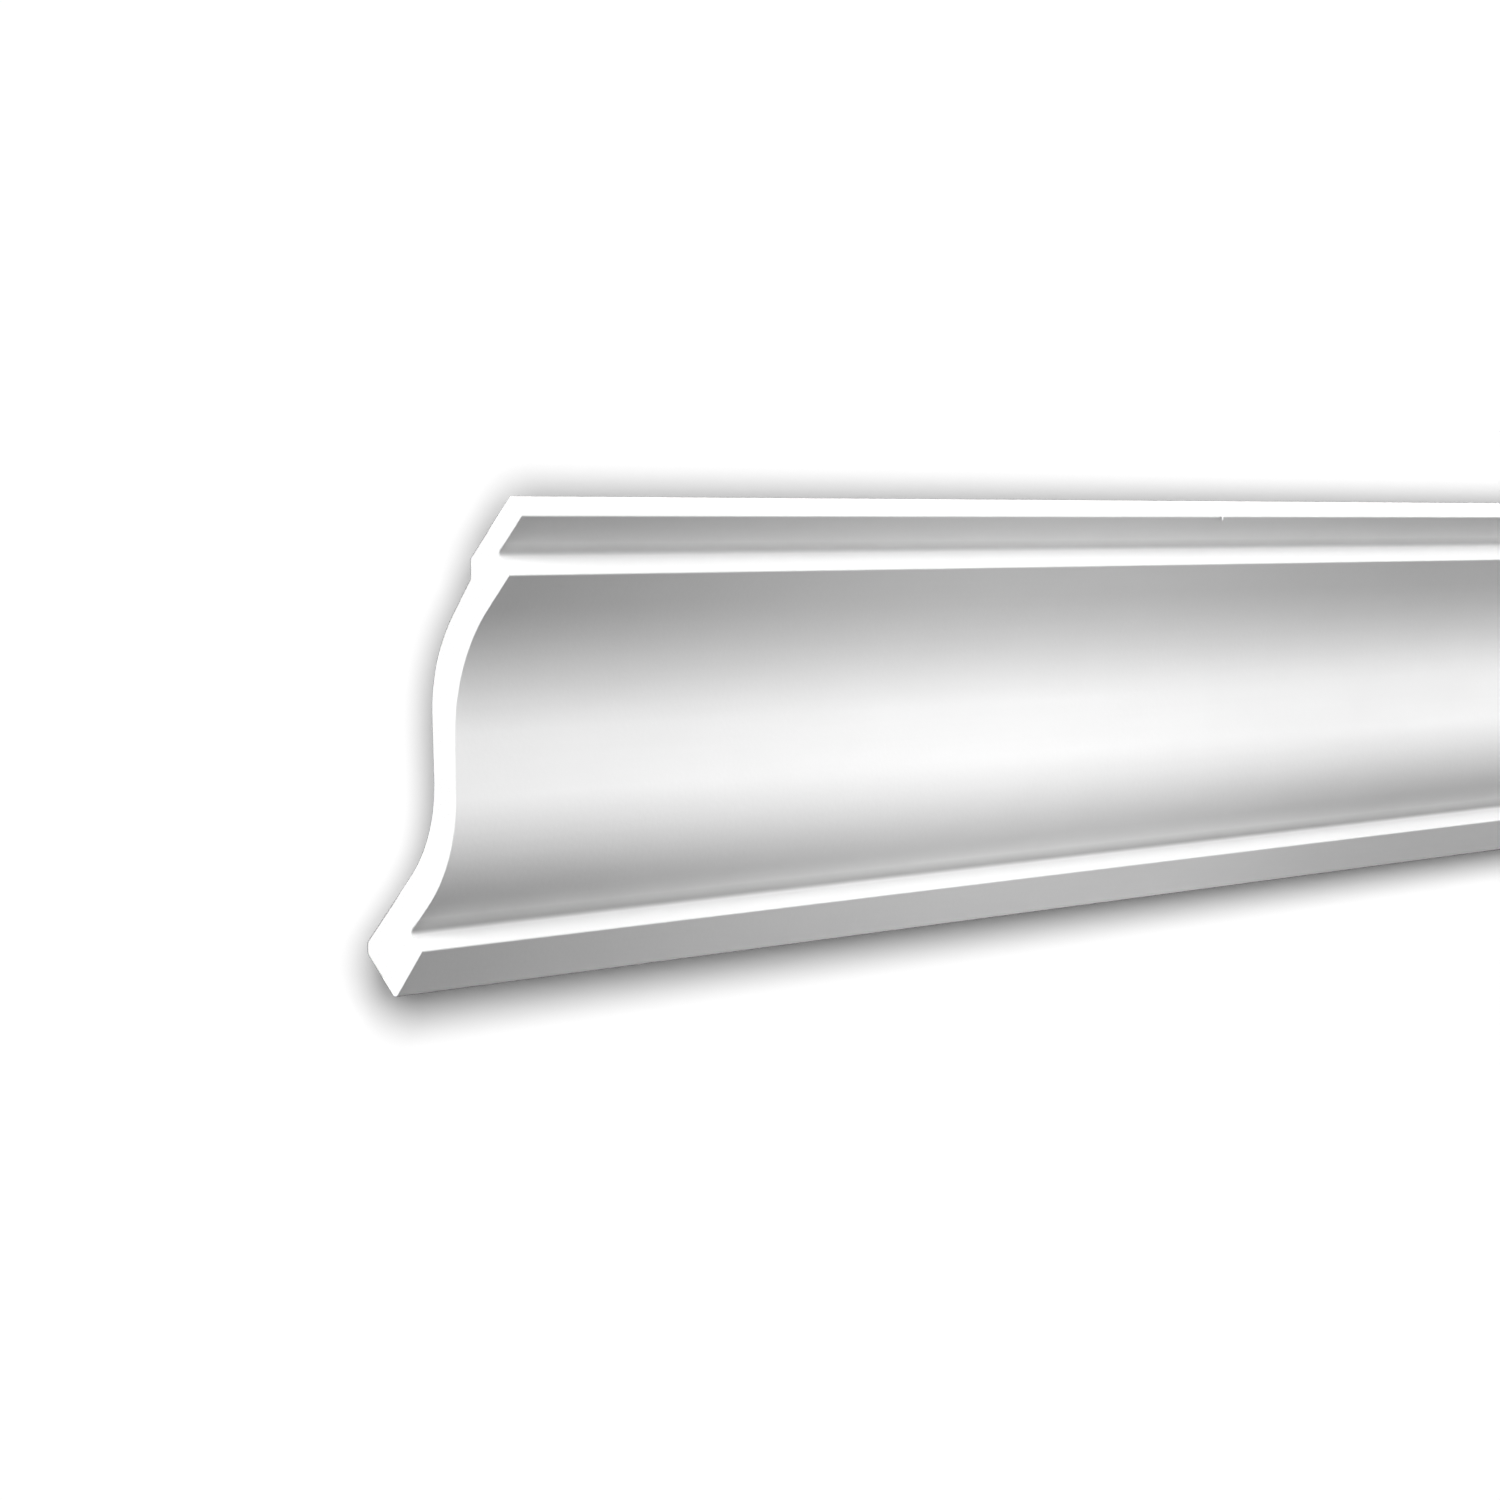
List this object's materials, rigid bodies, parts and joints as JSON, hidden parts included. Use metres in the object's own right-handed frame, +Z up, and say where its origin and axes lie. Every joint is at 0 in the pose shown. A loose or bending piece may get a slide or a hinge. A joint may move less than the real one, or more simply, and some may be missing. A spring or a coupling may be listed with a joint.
{
  "type": "crown moulding",
  "caption": "Straight length of crown moulding for the angle between wall and ceiling: an ogee between two fillets, with a flat lip at the ceiling, a thick foot on the wall and a hollow back.",
  "frame": {"origin": "middle of the flat face that is glued to the wall, halfway along the length", "axes": "+X along the length, -Y out from the wall into the room, +Z up towards the ceiling"},
  "size_m": [1, 0.1449, 0.0655],
  "materials": {
    "primed_foam": "matte white primer coat on hard moulded foam"
  },
  "bodies": {
    "root": {"crown_moulding": "primed_foam"}
  },
  "joints": []
}
